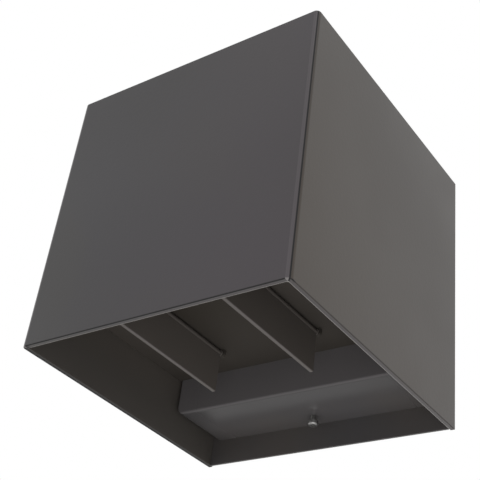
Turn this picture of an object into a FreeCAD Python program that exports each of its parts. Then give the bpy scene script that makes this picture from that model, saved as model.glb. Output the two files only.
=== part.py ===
import FreeCAD, Part

import math
import os

from FreeCAD import Vector

# Up-and-down cube wall light, in millimetres.
# A bronze coated sleeve is open above and below. A rounded wiring box stands at its back, on the
# back plate, and two carrier plates hold the light engine between them. Each mouth has two beam
# shutters, hinged on its carrier plate and held by friction washers.
# X is to the right for a viewer who faces the light, Y goes into the wall and Z is up.
# The origin is the centre of the face that meets the wall.

# ---- outer sleeve
WIDTH = 152.0
DEPTH = 153.0
HEIGHT = 153.4
SLEEVE_WALL = 2.6
SLEEVE_CORNER_R = 2.5
SLEEVE_INNER_CORNER_R = 0.9
RIM_R = 0.4

# ---- back plate, its rivets and the gasket behind the sleeve
GASKET_T = 1.0
GASKET_MARGIN = 1.4
GASKET_RING = 3.2
GASKET_CORNER_R = 2.5
BACK_SHEET = 1.2
BACK_PLATE_GAP = 0.1
BACK_OPENING_X = 62.0
BACK_OPENING_Z = 53.1
BACK_OPENING_R = 6.0
SIDE_FLANGE_DEPTH = 13.0
SIDE_FLANGE_HALF = 55.0
RIVET_PITCH = 35.0
RIVET_R = 1.2
RIVET_HOLE_R = 1.25
RIVET_HEAD_R = 2.3
RIVET_HEAD_T = 0.8
RIVET_TAIL_T = 0.7

# ---- wiring box
BOX_FRONT_FROM_FACE = 113.2
BOX_UNDERSIDE_FROM_RIM = 14.4
BOX_HALF_WIDTH = 72.0
BOX_CORNER_R = 5.0
BOX_EDGE_R = 1.5
BOX_SHEET = 1.5

# ---- carrier plates, one 35 mm inside each mouth
CEILING_FROM_RIM = 35.3
CARRIER_T = 2.0
CARRIER_GAP = 0.4
WINDOW_R = 16.0
ENGINE_FROM_FACE = 33.0
REAR_FLANGE_H = 12.0
CHASSIS_SCREW_X = 63.0
CHASSIS_SCREW_LENGTH = 6.0
CARRIER_SCREW_LENGTH = 10.0
LUG_SIZE = (11.0, 10.0, 12.0)
LUG_FROM_FACE = 26.0

# ---- beam shutters
SHUTTER_X = 29.5
SHUTTER_FRONT_FROM_FACE = 9.0
SHUTTER_REAR_FROM_FACE = 91.2
SHUTTER_EDGE_FROM_RIM = 10.8
SHUTTER_T = 2.0
SHUTTER_EDGE_R = 0.3
HINGE_BELOW_CEILING = 2.1
BARREL_R = 1.5
LEAF_BELOW_HINGE = 1.1
PIN_R = 0.8
PIN_RUNNING_CLEARANCE = 0.05
PIN_EAR_CLEARANCE = 0.03
PIN_HEAD_R = 1.4
PIN_HEAD_T = 0.8
PIN_PEEN_R = 1.2
PIN_PEEN_T = 0.7
EAR_T = 2.0
EAR_HALF_WIDTH = 2.5
EAR_HEIGHT = 4.0
EAR_ROUNDING = 2.0
WASHER_R = 1.9
WASHER_T = 0.4
WASHER_GAP = 0.05

# ---- light engine
WEB_HALF = 7.0
WEB_HALF_WIDTH = 39.0
FIN_T = 2.0
FIN_HALF_HEIGHT = 32.0
FIN_XS = (26.0, 32.0, 38.0)
FIN_FRONT_FROM_FACE = 11.0
FIN_REAR_FROM_FACE = 89.0
CORE_FLANGE_T = 4.0
CORE_FLANGE_HALF_Z = 15.0
CORE_SCREW_X = 32.0
CORE_SCREW_Z = 10.0
CORE_SCREW_LENGTH = 8.0
BOARD_HALF = 18.0
BOARD_T = 1.6
BOARD_CORNER_R = 3.0
BOARD_SCREW = 14.0
BOARD_SCREW_LENGTH = 6.0
CHIP_HALF = 6.0
CHIP_T = 0.7
EMITTER_R = 5.0
EMITTER_T = 0.4
LENS_R = 19.5
LENS_T = 3.0
LENS_CHAMFER = 0.4
SEAL_R = 20.0
SEAL_T = 0.8
SNOOT_WALL = 1.8
SNOOT_MOUTH_R = 15.0
SNOOT_SMALL_R = 8.5
SNOOT_FROM_BOARD = 0.3
SNOOT_STEPS = 8
SNOOT_FLANGE_R = 27.5
SNOOT_FLANGE_T = 1.5
SNOOT_SCREW_R = 24.0
SNOOT_SCREW_GRIP = 1.2
SNOOT_HOLE_DEPTH = 1.5
SNOOT_POST_R = 3.2

# ---- wall bracket inside the wiring box
BRACKET_T = 2.0
BRACKET_ARM_X = 55.0
BRACKET_ARM_HALF_Z = 13.0
BRACKET_STRAP_X = 20.0
BRACKET_STRAP_Z = 52.5
BRACKET_TAB_HALF_X = 9.0
BRACKET_TAB_DEPTH = 20.0
BRACKET_CORNER_R = 3.0
BOX_SCREW_SPACING = 79.4
SLOT_R = 2.4
SLOT_LENGTH = 14.4
ANCHOR_SPACING = 84.0
ANCHOR_R = 2.5
INLET_HOLE_R = 11.0
INLET_R = 7.0
INLET_LIP_R = 13.5
INLET_LIP_FRONT = 4.4
INLET_LIP_ROUNDING = 1.0
INLET_BACK = 0.2
INLET_SQUEEZE = 0.05
GROUND_X = 14.0
GROUND_Z = -27.0
GROUND_SCREW_LENGTH = 4.0
RING_R = 4.2
RING_T = 0.8
RING_PLAY = 0.1
CRIMP_R = 1.7
CRIMP_LENGTH = 6.0

# ---- locking screws, one in each mouth
LOCK_FROM_FACE = 141.4
LOCK_HEAD_FROM_RIM = 9.0
LOCK_LENGTH = 20.0

# ---- driver and terminal block inside the wiring box
DRIVER_HALF_X = 40.0
DRIVER_FOOT_X = 48.0
DRIVER_SCREW_X = 44.0
DRIVER_Z = (15.0, 48.0)
DRIVER_T = 20.0
DRIVER_FOOT_T = 3.0
DRIVER_FOOT_INSET = 8.0
DRIVER_EDGE_R = 1.5
DRIVER_SCREW_LENGTH = 4.4
TERMINAL_HALF_X = 17.0
TERMINAL_Z = (-45.0, -27.0)
TERMINAL_T = 13.0
TERMINAL_ENTRY = 4.2
TERMINAL_ENTRY_R = 1.7
TERMINAL_ENTRY_DEPTH = 4.0
POLE_PITCH = 11.0
WELL_FLOOR = 7.0
WELL_INSET = 5.0
WELL_R = 2.6
WELL_SCREW_R = 2.3
WELL_SCREW_T = 3.0
WELL_SLOT = 0.7
WELL_SLOT_FLOOR = 2.0
NOTCH_W = 1.2
NOTCH_FLOOR = 8.0
LEAD_R = 1.2
LEAD_Z = 9.9
BUSH_R = 2.95
BUSH_HOLE_R = 3.0
BUSH_LIP_R = 4.0
BUSH_LIP_T = 1.4
BUSH_PLAY = 0.1
LEAD_EXITS = {"upper": (55.0, LEAD_Z), "lower": (61.0, -LEAD_Z)}
LEAD_STARTS = {"upper": (-26.0, 38.0), "lower": (-22.5, 25.0)}
LEAD_TAIL = 3.5

# ---- screws: head radius, head height, shank radius
M25 = (2.2, 1.5, 1.25)
M3 = (2.8, 2.4, 1.5)
M4 = (3.6, 2.6, 2.0)
TAPPED_GAP = 0.04
CLEARANCE_GAP = 0.2
PAST = 1.0

# ---- places that follow from the sizes above
X_IN = WIDTH / 2 - SLEEVE_WALL
Y_FACE = -DEPTH
Y_IN = Y_FACE + SLEEVE_WALL
Z_RIM = HEIGHT / 2
Z_CEILING = Z_RIM - CEILING_FROM_RIM
Z_CARRIER_IN = Z_CEILING - CARRIER_T
Y_BACK_SHEET = -GASKET_T - BACK_SHEET
Y_BOX = Y_FACE + BOX_FRONT_FROM_FACE
Y_BOX_IN = Y_BOX + BOX_SHEET
Z_BOX = Z_RIM - BOX_UNDERSIDE_FROM_RIM
Y_ENGINE = Y_FACE + ENGINE_FROM_FACE
Y_SHUTTER = (Y_FACE + SHUTTER_FRONT_FROM_FACE, Y_FACE + SHUTTER_REAR_FROM_FACE)
Z_HINGE = Z_CEILING + HINGE_BELOW_CEILING
Z_SHUTTER_EDGE = Z_RIM - SHUTTER_EDGE_FROM_RIM
Y_LUG = Y_FACE + LUG_FROM_FACE
X_LUG_SCREW = X_IN - LUG_SIZE[0] / 2
Y_LOCK = Y_FACE + LOCK_FROM_FACE
Z_LENS = Z_CARRIER_IN - SEAL_T
Z_SNOOT_FLANGE = Z_LENS - LENS_T
Z_BOARD = WEB_HALF + BOARD_T

X_AXIS = Vector(1, 0, 0)
Y_AXIS = Vector(0, 1, 0)
Z_AXIS = Vector(0, 0, 1)


def block(x0, x1, y0, y1, z0, z1):
    """Box between two opposite corners."""
    return Part.makeBox(x1 - x0, y1 - y0, z1 - z0, Vector(x0, y0, z0))


def rod(x, y, z, axis, radius, length):
    """Cylinder that starts at a point and runs along an axis."""
    return Part.makeCylinder(radius, length, Vector(x, y, z), axis)


def edges_near(shape, test):
    """Edges whose middle point passes a test."""
    found = []
    for edge in shape.Edges:
        middle = edge.valueAt((edge.FirstParameter + edge.LastParameter) / 2)
        if test(middle):
            found.append(edge)
    return found


def near(a, b):
    return abs(a - b) < 0.01


def rounded_prism(half_x, half_z, radius, y0, y1):
    """Prism along Y with a rounded rectangular outline, centred on the Y axis."""
    prism = block(-half_x, half_x, y0, y1, -half_z, half_z)
    corners = edges_near(prism, lambda p: near(abs(p.x), half_x) and near(abs(p.z), half_z))
    return prism.makeFillet(radius, corners)


def upper(shape):
    """The same piece in the upper half of the light."""
    return shape.mirror(Vector(0, 0, 0), Z_AXIS)


def right_hand(shape):
    """The same piece on the other side of the light."""
    return shape.mirror(Vector(0, 0, 0), X_AXIS)


def both_sides(shape):
    return [shape, right_hand(shape)]


def screw(size, length, x, y, z, axis):
    """Pan head screw with a cross recess; the point is under its head and the axis is its tip."""
    head_r, head_h, shank_r = size
    body = Part.makeCylinder(head_r, head_h, Vector(0, 0, -head_h), Z_AXIS)
    crown = edges_near(body, lambda p: near(p.z, -head_h))
    body = body.makeFillet(head_h * 0.45, crown)
    arm = head_r * 0.62
    slot = head_r * 0.13
    depth = head_h * 0.55
    cross = block(-arm, arm, -slot, slot, -head_h, -head_h + depth)
    cross = cross.fuse(block(-slot, slot, -arm, arm, -head_h, -head_h + depth))
    shank = Part.makeCylinder(shank_r, length - shank_r * 0.4, Vector(0, 0, 0), Z_AXIS)
    tip = Part.makeCone(
        shank_r, shank_r * 0.6, shank_r * 0.4, Vector(0, 0, length - shank_r * 0.4), Z_AXIS
    )
    whole = body.cut(cross).fuse(shank).fuse(tip).removeSplitter()
    whole.Placement = FreeCAD.Placement(
        Vector(x, y, z), FreeCAD.Rotation(Z_AXIS, axis)
    )
    return whole


def rounded_path(points, share=0.45):
    """Straight runs joined by tangent arcs, as large as the runs allow."""
    points = [Vector(*p) for p in points]
    edges = []
    start = points[0]
    for before, corner, after in zip(points, points[1:], points[2:]):
        back = (before - corner).normalize()
        ahead = (after - corner).normalize()
        half = back.getAngle(ahead) / 2
        reach = share * min((before - corner).Length, (after - corner).Length)
        radius = reach * math.tan(half)
        first = corner + back * reach
        last = corner + ahead * reach
        centre = corner + (back + ahead).normalize() * (radius / math.sin(half))
        middle = centre + (corner - centre).normalize() * radius
        edges.append(Part.LineSegment(start, first).toShape())
        edges.append(Part.Arc(first, middle, last).toShape())
        start = last
    edges.append(Part.LineSegment(start, points[-1]).toShape())
    return Part.Wire(edges)


def lead(points):
    """Insulated lead along a rounded path."""
    path = rounded_path(points)
    direction = Vector(*points[1]) - Vector(*points[0])
    section = Part.Wire([Part.makeCircle(LEAD_R, Vector(*points[0]), direction)])
    return path.makePipeShell([section], True, True)


# ---------------------------------------------------------------- sleeve and back


def housing():
    """Sleeve of three walls, open above, below and at the back, with softened rims."""
    outer = block(-WIDTH / 2, WIDTH / 2, Y_FACE, 0, -Z_RIM, Z_RIM)
    inner = block(-X_IN, X_IN, Y_IN, 1, -Z_RIM - 1, Z_RIM + 1)
    shell = outer.cut(inner)
    front = edges_near(
        shell, lambda p: near(p.z, 0) and near(p.y, Y_FACE) and near(abs(p.x), WIDTH / 2)
    )
    shell = shell.makeFillet(SLEEVE_CORNER_R, front)
    inside = edges_near(shell, lambda p: near(p.z, 0) and near(p.y, Y_IN) and near(abs(p.x), X_IN))
    shell = shell.makeFillet(SLEEVE_INNER_CORNER_R, inside)

    rims = edges_near(shell, lambda p: near(abs(p.z), Z_RIM) and p.y < -0.1)
    return shell.makeFillet(RIM_R, rims)


def housing_lugs():
    """Four tapped lugs welded inside the side walls, for the front screws of the carriers."""
    length, depth, height = LUG_SIZE
    y0 = Y_LUG - depth / 2
    lug = block(X_IN - length, X_IN, y0, y0 + depth, -Z_CARRIER_IN, height - Z_CARRIER_IN)
    hole = rod(X_LUG_SCREW, Y_LUG, -Z_CARRIER_IN - 1, Z_AXIS, M3[2] + TAPPED_GAP, height + 2)
    lug = lug.cut(hole)
    pair = both_sides(lug)
    return Part.makeCompound(pair + [upper(one) for one in pair])


def back_plate():
    """Thin sheet that closes the back, with bent side flanges and a large wiring opening."""
    half_x = X_IN - BACK_PLATE_GAP
    sheet = block(-half_x, half_x, Y_BACK_SHEET, -GASKET_T, -Z_RIM, Z_RIM)
    for side in (-1, 1):
        x0, x1 = sorted((side * half_x, side * (half_x - BACK_SHEET)))
        front = -GASKET_T - SIDE_FLANGE_DEPTH
        flange = block(x0, x1, front, -GASKET_T, -SIDE_FLANGE_HALF, SIDE_FLANGE_HALF)
        sheet = sheet.fuse(flange)
    opening = rounded_prism(
        BACK_OPENING_X, BACK_OPENING_Z, BACK_OPENING_R, Y_BACK_SHEET - PAST, 0
    )
    sheet = sheet.cut(opening)
    for x, z in rivet_places():
        sheet = sheet.cut(
            rod(x, Y_BACK_SHEET - PAST, z, Y_AXIS, RIVET_HOLE_R, BACK_SHEET + 2 * PAST)
        )
    return sheet.removeSplitter()


def rivet_places():
    """Centres of the ten rivets that join the wiring box's rim to the back plate."""
    side = (BACK_OPENING_X + BOX_HALF_WIDTH - BOX_SHEET) / 2
    end = (BACK_OPENING_Z + Z_BOX - BOX_SHEET) / 2
    places = [(sx * side, step * RIVET_PITCH) for sx in (-1, 1) for step in (-1, 0, 1)]
    places += [(step * RIVET_PITCH, sz * end) for sz in (-1, 1) for step in (-1, 1)]
    return places


def back_rivets():
    """Flat rivets: a shank through two sheets with a low head on each face."""
    rivets = []
    front = Y_BACK_SHEET - BOX_SHEET
    for x, z in rivet_places():
        head = rod(x, front - RIVET_HEAD_T, z, Y_AXIS, RIVET_HEAD_R, RIVET_HEAD_T)
        tail = rod(x, -GASKET_T, z, Y_AXIS, RIVET_HEAD_R, RIVET_TAIL_T)
        first = front - RIVET_HEAD_T / 2
        shank = rod(x, first, z, Y_AXIS, RIVET_R, RIVET_TAIL_T / 2 - GASKET_T - first)
        rivets.append(shank.fuse(head).fuse(tail).removeSplitter())
    return Part.makeCompound(rivets)


def wall_gasket():
    """Flat foam ring between the back plate and the wall."""
    half_x = X_IN - GASKET_MARGIN
    half_z = Z_RIM - GASKET_MARGIN
    ring = rounded_prism(half_x, half_z, GASKET_CORNER_R, -GASKET_T, 0)
    hole = rounded_prism(
        half_x - GASKET_RING, half_z - GASKET_RING, GASKET_CORNER_R, -GASKET_T - PAST, PAST
    )
    return ring.cut(hole)


def wiring_box():
    """Drawn box with rounded corners, open towards the wall, with a rim turned inwards."""
    body = rounded_prism(BOX_HALF_WIDTH, Z_BOX, BOX_CORNER_R, Y_BOX, Y_BACK_SHEET)
    body = body.makeFillet(BOX_EDGE_R, edges_near(body, lambda p: near(p.y, Y_BOX)))
    hollow = rounded_prism(
        BOX_HALF_WIDTH - BOX_SHEET,
        Z_BOX - BOX_SHEET,
        BOX_CORNER_R - BOX_SHEET,
        Y_BOX_IN,
        Y_BACK_SHEET - BOX_SHEET,
    )
    opening = rounded_prism(
        BACK_OPENING_X, BACK_OPENING_Z, BACK_OPENING_R, Y_BACK_SHEET - BOX_SHEET - PAST, 0
    )
    body = body.cut(hollow).cut(opening)
    for x, z in rivet_places():
        body = body.cut(
            rod(x, Y_BACK_SHEET - BOX_SHEET - PAST, z, Y_AXIS, RIVET_HOLE_R, BOX_SHEET + 2 * PAST)
        )
    for side in (-1, 1):
        inside = side * (Z_BOX - BOX_SHEET - PAST)
        body = body.cut(
            rod(0, Y_LOCK, inside, Vector(0, 0, side), M3[2] + CLEARANCE_GAP, BOX_SHEET + 2 * PAST)
        )
        for z in (-CORE_SCREW_Z, CORE_SCREW_Z):
            body = body.cut(front_hole(side * CORE_SCREW_X, z, M4[2] + CLEARANCE_GAP))
        for z in (-chassis_screw_z(), chassis_screw_z()):
            body = body.cut(front_hole(side * CHASSIS_SCREW_X, z, M3[2] + CLEARANCE_GAP))
        body = body.cut(front_hole(side * DRIVER_SCREW_X, driver_middle(), M3[2] + TAPPED_GAP))
    for x, z in lead_exits():
        body = body.cut(front_hole(x, z, BUSH_HOLE_R))
    return body


def front_hole(x, z, radius):
    """Cutter for a hole through the front wall of the wiring box."""
    return rod(x, Y_BOX - PAST, z, Y_AXIS, radius, BOX_SHEET + 2 * PAST)


def chassis_screw_z():
    """Height of the screws through the carriers' rear flanges."""
    return Z_CARRIER_IN - REAR_FLANGE_H / 2


def driver_middle():
    return sum(DRIVER_Z) / 2


def lead_exits():
    """Where the leads to the upper and the lower lamp board leave the wiring box."""
    return list(LEAD_EXITS.values())


# ---------------------------------------------------------------- carriers and shutters


def carrier():
    """Lower carrier plate: window, hinge ears in the mouth and a rear flange inside."""
    half_x = X_IN - CARRIER_GAP
    y0 = Y_IN + CARRIER_GAP
    y1 = Y_BOX
    plate = block(-half_x, half_x, y0, y1, -Z_CEILING, -Z_CARRIER_IN)
    flange = block(
        -half_x, half_x, y1 - CARRIER_T, y1, -Z_CARRIER_IN - 0.5, REAR_FLANGE_H - Z_CARRIER_IN
    )
    plate = plate.fuse(flange)
    for side in (-1, 1):
        for y in ear_fronts():
            ear = block(
                side * SHUTTER_X - EAR_HALF_WIDTH,
                side * SHUTTER_X + EAR_HALF_WIDTH,
                y,
                y + EAR_T,
                -Z_CEILING - EAR_HEIGHT,
                -Z_CEILING + 0.5,
            )
            lower = edges_near(
                ear, lambda p: near(p.z, -Z_CEILING - EAR_HEIGHT) and near(p.y, y + EAR_T / 2)
            )
            ear = ear.makeFillet(EAR_ROUNDING, lower)
            bore_r = PIN_R + PIN_EAR_CLEARANCE
            ear = ear.cut(
                rod(side * SHUTTER_X, y - PAST, -Z_HINGE, Y_AXIS, bore_r, EAR_T + 2 * PAST)
            )
            plate = plate.fuse(ear)
        plate = plate.cut(ceiling_hole(side * X_LUG_SCREW, Y_LUG, M3[2] + CLEARANCE_GAP))
        tapped = rod(
            side * CHASSIS_SCREW_X,
            y1 - CARRIER_T - PAST,
            -chassis_screw_z(),
            Y_AXIS,
            M3[2] + TAPPED_GAP,
            CARRIER_T + 2 * PAST,
        )
        plate = plate.cut(tapped)
    plate = plate.cut(ceiling_hole(0, Y_ENGINE, WINDOW_R))
    for x, y in snoot_screw_places():
        plate = plate.cut(
            rod(x, y, -Z_CARRIER_IN - SNOOT_HOLE_DEPTH, Z_AXIS, M25[2] + TAPPED_GAP, CARRIER_T)
        )
    return plate.removeSplitter()


def ceiling_hole(x, y, radius):
    """Cutter for a hole through the lower carrier plate."""
    return rod(x, y, -Z_CEILING - PAST, Z_AXIS, radius, CARRIER_T + 2 * PAST)


def ear_fronts():
    """Front faces of the two hinge ears of one shutter."""
    play = WASHER_T + 2 * WASHER_GAP
    return (Y_SHUTTER[0] - play - EAR_T, Y_SHUTTER[1] + play)


def carrier_screws():
    """Two screws at the front of a carrier, into the sleeve's lugs."""
    one = screw(M3, CARRIER_SCREW_LENGTH, X_LUG_SCREW, Y_LUG, -Z_CEILING, Z_AXIS)
    return Part.makeCompound(both_sides(one))


def shutter():
    """Lower left beam shutter: a flat leaf under a hinge barrel."""
    y0, y1 = Y_SHUTTER
    half = SHUTTER_T / 2
    leaf = block(
        -SHUTTER_X - half, -SHUTTER_X + half, y0, y1, -Z_SHUTTER_EDGE, -Z_HINGE - LEAF_BELOW_HINGE
    )
    tips = edges_near(
        leaf, lambda p: near(p.z, -Z_SHUTTER_EDGE) and near(abs(p.x + SHUTTER_X), half)
    )
    leaf = leaf.makeFillet(SHUTTER_EDGE_R, tips)
    barrel = rod(-SHUTTER_X, y0, -Z_HINGE, Y_AXIS, BARREL_R, y1 - y0)
    bore_r = PIN_R + PIN_RUNNING_CLEARANCE
    bore = rod(-SHUTTER_X, y0 - PAST, -Z_HINGE, Y_AXIS, bore_r, y1 - y0 + 2 * PAST)
    return leaf.fuse(barrel).cut(bore).removeSplitter()


def hinge_pin():
    """Pin of the lower left shutter, headed in front and peened behind."""
    front, rear = ear_fronts()
    back = rear + EAR_T
    shaft = rod(-SHUTTER_X, front, -Z_HINGE, Y_AXIS, PIN_R, back - front)
    head = rod(-SHUTTER_X, front - PIN_HEAD_T, -Z_HINGE, Y_AXIS, PIN_HEAD_R, PIN_HEAD_T)
    peen = Part.makeCone(
        PIN_PEEN_R, PIN_R, PIN_PEEN_T, Vector(-SHUTTER_X, back, -Z_HINGE), Y_AXIS
    )
    return shaft.fuse(head).fuse(peen).removeSplitter()


def friction_washers():
    """Two washers on each pin of the lower shutters, one at each end of the barrel."""
    rings = []
    for y in (Y_SHUTTER[0] - WASHER_GAP - WASHER_T, Y_SHUTTER[1] + WASHER_GAP):
        ring = rod(-SHUTTER_X, y, -Z_HINGE, Y_AXIS, WASHER_R, WASHER_T)
        bore_r = PIN_R + PIN_RUNNING_CLEARANCE
        ring = ring.cut(
            rod(-SHUTTER_X, y - PAST, -Z_HINGE, Y_AXIS, bore_r, WASHER_T + 2 * PAST)
        )
        rings += both_sides(ring)
    return Part.makeCompound(rings)


# ---------------------------------------------------------------- light engine


def heat_sink():
    """Aluminium web with fins on both faces, on a flange against the wiring box."""
    y0 = Y_FACE + FIN_FRONT_FROM_FACE
    y_flange = Y_BOX - CORE_FLANGE_T
    half_x = WEB_HALF_WIDTH
    half_z = CORE_FLANGE_HALF_Z
    core = block(-half_x, half_x, y0, Y_BOX, -WEB_HALF, WEB_HALF)
    core = core.fuse(block(-half_x, half_x, y_flange, Y_BOX, -half_z, half_z))
    for x in FIN_XS:
        for side in (-1, 1):
            core = core.fuse(
                block(
                    side * x - FIN_T / 2,
                    side * x + FIN_T / 2,
                    y0,
                    Y_FACE + FIN_REAR_FROM_FACE,
                    -FIN_HALF_HEIGHT,
                    FIN_HALF_HEIGHT,
                )
            )
    for side in (-1, 1):
        for z in (-CORE_SCREW_Z, CORE_SCREW_Z):
            hole = rod(
                side * CORE_SCREW_X,
                y_flange - PAST,
                z,
                Y_AXIS,
                M4[2] + TAPPED_GAP,
                CORE_FLANGE_T + 2 * PAST,
            )
            core = core.cut(hole)
        for face in (-1, 1):
            hole = rod(
                side * BOARD_SCREW,
                Y_ENGINE + side * BOARD_SCREW,
                face * (WEB_HALF - BOARD_SCREW_LENGTH),
                Vector(0, 0, face),
                M25[2] + TAPPED_GAP,
                BOARD_SCREW_LENGTH + PAST,
            )
            core = core.cut(hole)
    return core.removeSplitter()


def core_screws():
    """Four screws through the front of the wiring box into the heat sink's flange."""
    screws = []
    for x in (-CORE_SCREW_X, CORE_SCREW_X):
        for z in (-CORE_SCREW_Z, CORE_SCREW_Z):
            screws.append(screw(M4, CORE_SCREW_LENGTH, x, Y_BOX_IN, z, -Y_AXIS))
    return Part.makeCompound(screws)


def chassis_screws():
    """Four screws through the front of the wiring box into the carriers' rear flanges."""
    screws = []
    for x in (-CHASSIS_SCREW_X, CHASSIS_SCREW_X):
        for z in (-chassis_screw_z(), chassis_screw_z()):
            screws.append(screw(M3, CHASSIS_SCREW_LENGTH, x, Y_BOX_IN, z, -Y_AXIS))
    return Part.makeCompound(screws)


def led_board():
    """Lower lamp board, square with rounded corners and two screw holes."""
    board = block(
        -BOARD_HALF, BOARD_HALF, Y_ENGINE - BOARD_HALF, Y_ENGINE + BOARD_HALF, -Z_BOARD, -WEB_HALF
    )
    corners = edges_near(
        board, lambda p: near(abs(p.x), BOARD_HALF) and near(abs(p.y - Y_ENGINE), BOARD_HALF)
    )
    board = board.makeFillet(BOARD_CORNER_R, corners)
    for side in (-1, 1):
        hole = rod(
            side * BOARD_SCREW,
            Y_ENGINE + side * BOARD_SCREW,
            -Z_BOARD - PAST,
            Z_AXIS,
            M25[2] + CLEARANCE_GAP,
            BOARD_T + 2 * PAST,
        )
        board = board.cut(hole)
    return board


def led_chip():
    """Lower light source: a square carrier with a round emitting face."""
    y0 = Y_ENGINE - CHIP_HALF
    y1 = Y_ENGINE + CHIP_HALF
    face = -Z_BOARD - CHIP_T
    base = block(-CHIP_HALF, CHIP_HALF, y0, y1, face, -Z_BOARD)
    disc = rod(0, Y_ENGINE, face - EMITTER_T, Z_AXIS, EMITTER_R, EMITTER_T)
    return base.fuse(disc).removeSplitter()


def board_screws():
    """Two screws that hold the lower lamp board to the web."""
    screws = []
    for side in (-1, 1):
        x = side * BOARD_SCREW
        screws.append(screw(M25, BOARD_SCREW_LENGTH, x, Y_ENGINE + x, -Z_BOARD, Z_AXIS))
    return Part.makeCompound(screws)


def snoot():
    """Lower glare shield: a stepped cone with a flange and four posts on the carrier."""
    z_top = -Z_BOARD - SNOOT_FROM_BOARD
    z_low = -Z_SNOOT_FLANGE + SNOOT_FLANGE_T
    step_h = (z_top - z_low) / SNOOT_STEPS
    step_r = (SNOOT_MOUTH_R - SNOOT_SMALL_R) / SNOOT_STEPS
    inner = []
    for i in range(SNOOT_STEPS):
        radius = SNOOT_SMALL_R + i * step_r
        inner.append((radius, z_top - i * step_h))
        inner.append((radius + step_r * 0.3, z_top - (i + 1) * step_h))
    outline = inner + [
        (SNOOT_MOUTH_R, z_low),
        (SNOOT_MOUTH_R, -Z_SNOOT_FLANGE),
        (SNOOT_FLANGE_R, -Z_SNOOT_FLANGE),
        (SNOOT_FLANGE_R, z_low),
        (SNOOT_MOUTH_R + SNOOT_WALL, z_low),
        (SNOOT_SMALL_R + SNOOT_WALL, z_top),
    ]
    points = [Vector(r, 0, z) for r, z in outline]
    face = Part.Face(Part.makePolygon(points + [points[0]]))
    shield = face.revolve(Vector(0, 0, 0), Z_AXIS, 360)
    shield.translate(Vector(0, Y_ENGINE, 0))
    for x, y in snoot_screw_places():
        height = Z_CARRIER_IN - Z_SNOOT_FLANGE + SNOOT_FLANGE_T / 2
        shield = shield.fuse(rod(x, y, -Z_CARRIER_IN, Z_AXIS, SNOOT_POST_R, height))
    for x, y in snoot_screw_places():
        length = Z_CARRIER_IN - Z_SNOOT_FLANGE + SNOOT_FLANGE_T + 2 * PAST
        hole = rod(x, y, -Z_CARRIER_IN - PAST, Z_AXIS, M25[2] + CLEARANCE_GAP, length)
        shield = shield.cut(hole)
    return shield


def snoot_screw_places():
    """Centres of the four posts of a glare shield."""
    reach = SNOOT_SCREW_R / math.sqrt(2)
    return [(sx * reach, Y_ENGINE + sy * reach) for sx in (-1, 1) for sy in (-1, 1)]


def snoot_screws():
    """Four screws that draw the lower glare shield, glass and seal onto the carrier."""
    z = -Z_SNOOT_FLANGE + SNOOT_FLANGE_T
    length = z + Z_CARRIER_IN + SNOOT_SCREW_GRIP
    return Part.makeCompound(
        [screw(M25, length, x, y, z, -Z_AXIS) for x, y in snoot_screw_places()]
    )


def lens():
    """Lower clear glass disc with ground edges."""
    disc = rod(0, Y_ENGINE, -Z_LENS, Z_AXIS, LENS_R, LENS_T)
    rims = [edge for edge in disc.Edges if isinstance(edge.Curve, Part.Circle)]
    return disc.makeChamfer(LENS_CHAMFER, rims)


def lens_seal():
    """Lower silicone ring between the glass and the carrier."""
    ring = rod(0, Y_ENGINE, -Z_CARRIER_IN, Z_AXIS, SEAL_R, SEAL_T)
    return ring.cut(
        rod(0, Y_ENGINE, -Z_CARRIER_IN - PAST, Z_AXIS, WINDOW_R, SEAL_T + 2 * PAST)
    )


# ---------------------------------------------------------------- wall bracket


def wall_bracket():
    """Cross-shaped plate with slots for a wall box, anchor holes and a tab at each end."""
    arm = rounded_prism(BRACKET_ARM_X, BRACKET_ARM_HALF_Z, BRACKET_CORNER_R, -BRACKET_T, 0)
    strap = block(
        -BRACKET_STRAP_X, BRACKET_STRAP_X, -BRACKET_T, 0, -BRACKET_STRAP_Z, BRACKET_STRAP_Z
    )
    plate = arm.fuse(strap)
    for side in (-1, 1):
        z0, z1 = sorted((side * BRACKET_STRAP_Z, side * (BRACKET_STRAP_Z - BRACKET_T)))
        tab = block(-BRACKET_TAB_HALF_X, BRACKET_TAB_HALF_X, -BRACKET_TAB_DEPTH, 0, z0, z1)
        outer = edges_near(
            tab, lambda p: near(p.y, -BRACKET_TAB_DEPTH) and near(abs(p.x), BRACKET_TAB_HALF_X)
        )
        tab = tab.makeFillet(BRACKET_CORNER_R, outer)
        tab = tab.cut(rod(0, Y_LOCK, z0 - PAST, Z_AXIS, M3[2] + TAPPED_GAP, BRACKET_T + 2 * PAST))
        plate = plate.fuse(tab)
        reach = SLOT_LENGTH / 2 - SLOT_R
        x = side * BOX_SCREW_SPACING / 2
        slot = block(x - reach, x + reach, -BRACKET_T - PAST, PAST, -SLOT_R, SLOT_R)
        for end in (x - reach, x + reach):
            slot = slot.fuse(bracket_hole(end, 0, SLOT_R))
        plate = plate.cut(slot)
        plate = plate.cut(bracket_hole(0, side * ANCHOR_SPACING / 2, ANCHOR_R))
    plate = plate.cut(bracket_hole(0, 0, INLET_HOLE_R))
    plate = plate.cut(bracket_hole(GROUND_X, GROUND_Z, M4[2] + TAPPED_GAP))
    return plate.removeSplitter()


def bracket_hole(x, z, radius):
    """Cutter for a hole through the flat of the wall bracket."""
    return rod(x, -BRACKET_T - PAST, z, Y_AXIS, radius, BRACKET_T + 2 * PAST)


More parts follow.
